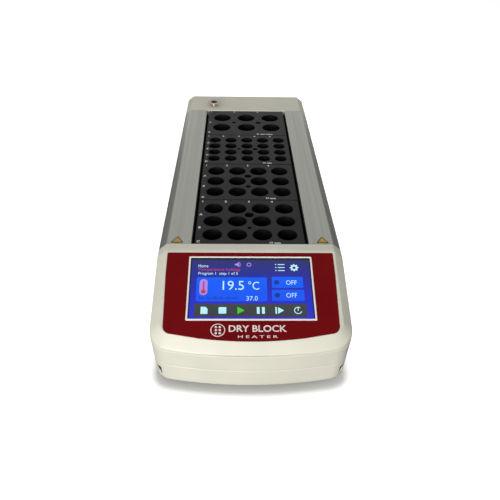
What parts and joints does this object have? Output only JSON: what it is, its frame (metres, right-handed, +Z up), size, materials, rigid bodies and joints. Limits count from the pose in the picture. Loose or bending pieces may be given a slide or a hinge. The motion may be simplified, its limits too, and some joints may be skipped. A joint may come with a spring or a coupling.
{
  "type": "dry block heater",
  "caption": "Long bench heater with lift-out aluminium tube blocks in a heated well, brushed steel sides, moulded front hood with a sloping touch screen, rear mains inlet and switch.",
  "frame": {"origin": "on the bench under the middle of the heater, halfway along its whole length with the rear fittings", "axes": "+X to the right seen from the touch screen, +Y to the back along the length, +Z up"},
  "size_m": [0.1564, 0.464, 0.08],
  "materials": {
    "housing": "satin moulded plastic, warm light cream",
    "brushed_steel": "brushed stainless sheet, grain along the length",
    "plated_steel": "zinc-plated steel",
    "overlay_red": "dark red printed polyester film",
    "trim_white": "white moulded trim",
    "touch_glass": "touch glass over a lit blue display",
    "black_plastic": "black moulded plastic",
    "anodised_black": "black anodised aluminium, machined",
    "liner_black": "dark coated aluminium sheet",
    "nickel": "nickel-plated brass",
    "brass": "plated brass contact",
    "rubber": "black rubber",
    "silicone": "silicone rubber heater mat",
    "insulation": "mineral fibre insulation board",
    "circuit_board": "green circuit board with its components",
    "lead_grey": "grey lead insulation",
    "lead_red": "red lead insulation",
    "label_yellow": "yellow self-adhesive label",
    "fuse_glass": "glass cartridge fuse with metal caps"
  },
  "bodies": {
    "casing": {"front_housing_upper": "housing", "front_housing_lower": "housing", "rear_housing": "housing", "left_side_panel": "brushed_steel", "right_side_panel": "brushed_steel", "base_plate": "plated_steel", "display_module": "plated_steel", "hood_screw_left": "plated_steel", "hood_screw_right": "plated_steel", "base_screw_front_left": "plated_steel", "base_screw_front_right": "plated_steel", "base_screw_rear_left": "plated_steel", "base_screw_rear_right": "plated_steel", "foot_screw_front_left": "plated_steel", "foot_screw_front_right": "plated_steel", "foot_screw_rear_left": "plated_steel", "foot_screw_rear_right": "plated_steel", "panel_overlay": "overlay_red", "screen_frame": "trim_white", "touch_glass": "touch_glass", "thermal_cutout": "black_plastic", "buzzer": "black_plastic", "solid_state_relay": "black_plastic", "power_inlet": "black_plastic", "power_switch_body": "black_plastic", "well_liner": "liner_black", "probe_socket": "nickel", "probe_socket_nut": "nickel", "well_sensor": "nickel", "inlet_pin_live": "brass", "inlet_pin_neutral": "brass", "inlet_pin_earth": "brass", "foot_front_left": "rubber", "foot_front_right": "rubber", "foot_rear_left": "rubber", "foot_rear_right": "rubber", "heater_mat": "silicone", "insulation_board": "insulation", "control_board": "circuit_board", "power_board": "circuit_board", "ribbon_cable": "lead_grey", "probe_lead": "lead_grey", "mains_lead": "lead_grey", "sensor_lead": "lead_grey", "power_lead": "lead_red", "heater_lead": "lead_red", "hot_surface_label_left": "label_yellow", "hot_surface_label_right": "label_yellow"},
    "block_21mm": {"heating_block_21mm": "anodised_black"},
    "block_13mm": {"heating_block_13mm": "anodised_black"},
    "block_17mm_rear": {"heating_block_17mm_rear": "anodised_black"},
    "block_17mm_front": {"heating_block_17mm_front": "anodised_black"},
    "rocker": {"power_rocker": "black_plastic"},
    "fuse_tray": {"fuse_drawer": "black_plastic", "fuse": "fuse_glass"}
  },
  "joints": [
    {"name": "block_21mm_lift", "type": "slide", "parent": "casing", "child": "block_21mm", "axis": [0, 0, 1], "range_m": [0, 0.075]},
    {"name": "block_13mm_lift", "type": "slide", "parent": "casing", "child": "block_13mm", "axis": [0, 0, 1], "range_m": [0, 0.075]},
    {"name": "block_17mm_rear_lift", "type": "slide", "parent": "casing", "child": "block_17mm_rear", "axis": [0, 0, 1], "range_m": [0, 0.075]},
    {"name": "block_17mm_front_lift", "type": "slide", "parent": "casing", "child": "block_17mm_front", "axis": [0, 0, 1], "range_m": [0, 0.075]},
    {"name": "rocker_tilt", "type": "hinge", "parent": "casing", "child": "rocker", "pos_m": [0.036, 0.228, 0.036], "axis": [1, 0, 0], "range_deg": [0, 18]},
    {"name": "fuse_tray_slide", "type": "slide", "parent": "casing", "child": "fuse_tray", "axis": [0, 1, 0], "range_m": [0, 0.022]}
  ]
}
